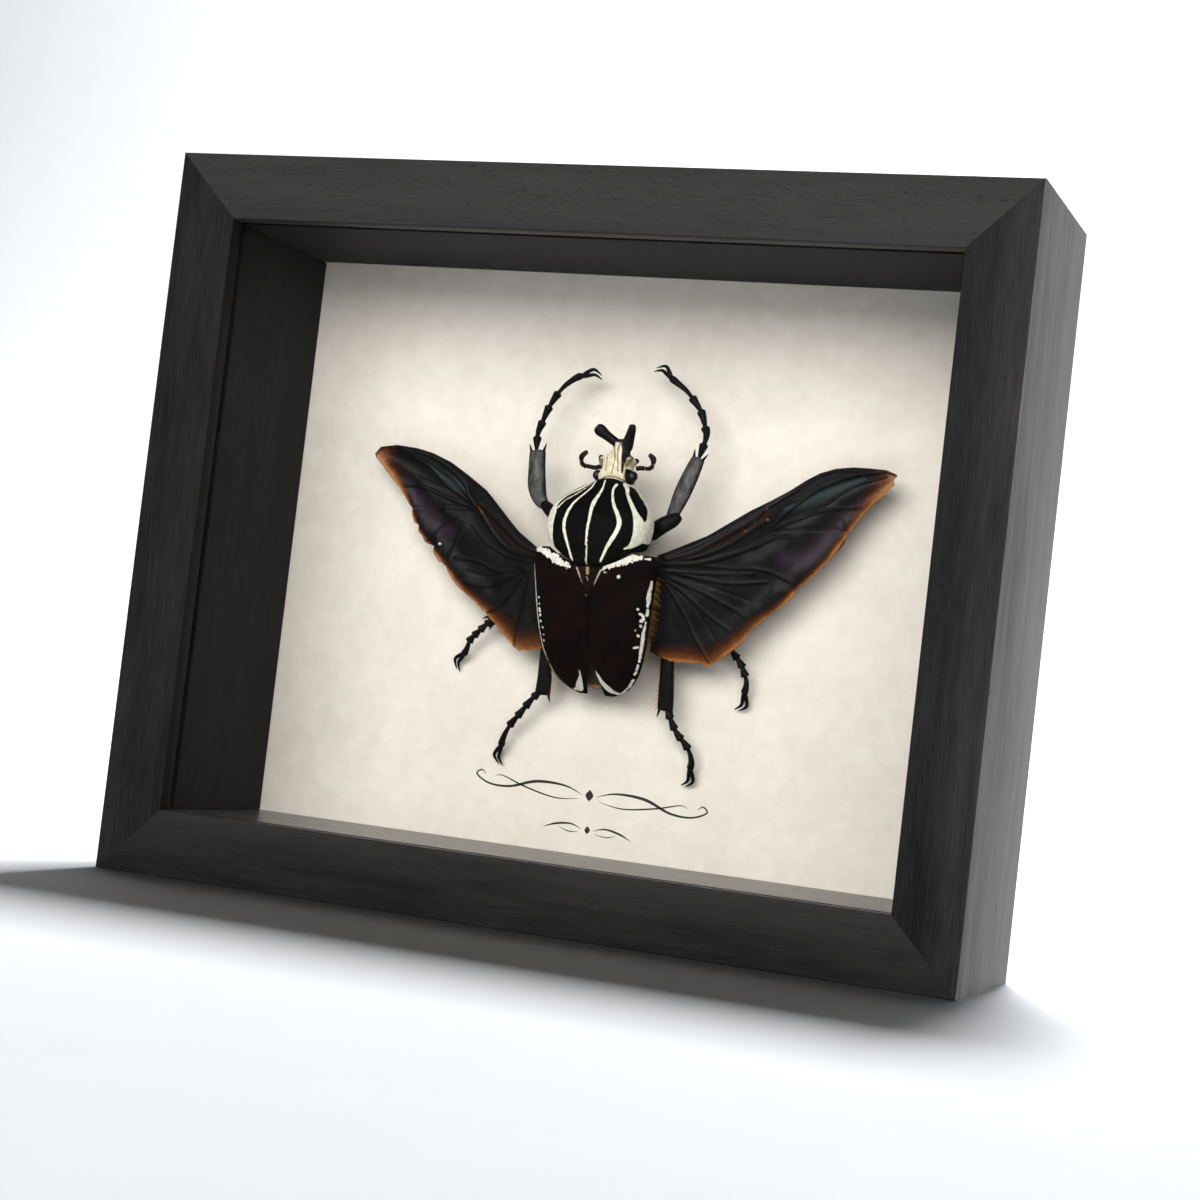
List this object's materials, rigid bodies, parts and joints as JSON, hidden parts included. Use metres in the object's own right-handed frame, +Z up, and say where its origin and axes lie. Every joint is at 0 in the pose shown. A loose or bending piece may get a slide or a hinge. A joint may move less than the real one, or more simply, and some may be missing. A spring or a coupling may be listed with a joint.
{
  "type": "framed goliath beetle specimen",
  "caption": "Goliath beetle with spread wings, pinned on a cream board behind glass in a deep black shadow box frame that stands or hangs.",
  "frame": {"origin": "under the middle of the frame's bottom edge, halfway between the frame's front and the back of its hanger", "axes": "+X to the right along the width, -Y out of the glass, +Z up"},
  "size_m": [0.28, 0.074, 0.232],
  "materials": {
    "black_wood": "satin black stain over fine open grain",
    "glass": "clear, polished",
    "black_paper": "matt black",
    "cream_board": "matt, faintly mottled",
    "brown_panel": "pressed fibre, matt",
    "steel": "bright zinc",
    "felt": "black felt",
    "black_shell": "velvety black with cream stripes",
    "maroon_shell": "dark maroon, satin, cream edges and dots",
    "bone": "cream with black streaks and black horn tips",
    "belly": "dark brown with golden hairs",
    "wing_membrane": "charcoal membrane with amber edges, slightly see-through",
    "leg": "black, shins grey and satin"
  },
  "bodies": {
    "root": {"frame_bottom": "black_wood", "frame_left": "black_wood", "frame_top": "black_wood", "frame_right": "black_wood", "glass_pane": "glass", "spacer_bottom": "black_paper", "spacer_top": "black_paper", "spacer_left": "black_paper", "spacer_right": "black_paper", "mount_board": "cream_board", "back_panel": "brown_panel", "tab_bottom_1": "steel", "tab_bottom_2": "steel", "tab_left_1": "steel", "tab_left_2": "steel", "tab_top_1": "steel", "tab_top_2": "steel", "tab_right_1": "steel", "tab_right_2": "steel", "sawtooth_hanger": "steel", "hanger_nail_1": "steel", "hanger_nail_2": "steel", "bumper_left": "felt", "bumper_right": "felt", "pronotum": "black_shell", "elytron_left": "maroon_shell", "elytron_right": "maroon_shell", "scutellum": "maroon_shell", "thorax_and_abdomen": "belly", "head": "bone", "antenna_left": "leg", "antenna_right": "leg", "wing_left": "wing_membrane", "wing_right": "wing_membrane", "front_leg_left": "leg", "front_leg_right": "leg", "middle_leg_left": "leg", "middle_leg_right": "leg", "hind_leg_left": "leg", "hind_leg_right": "leg", "body_pin": "steel", "wing_pin": "steel"}
  },
  "joints": []
}
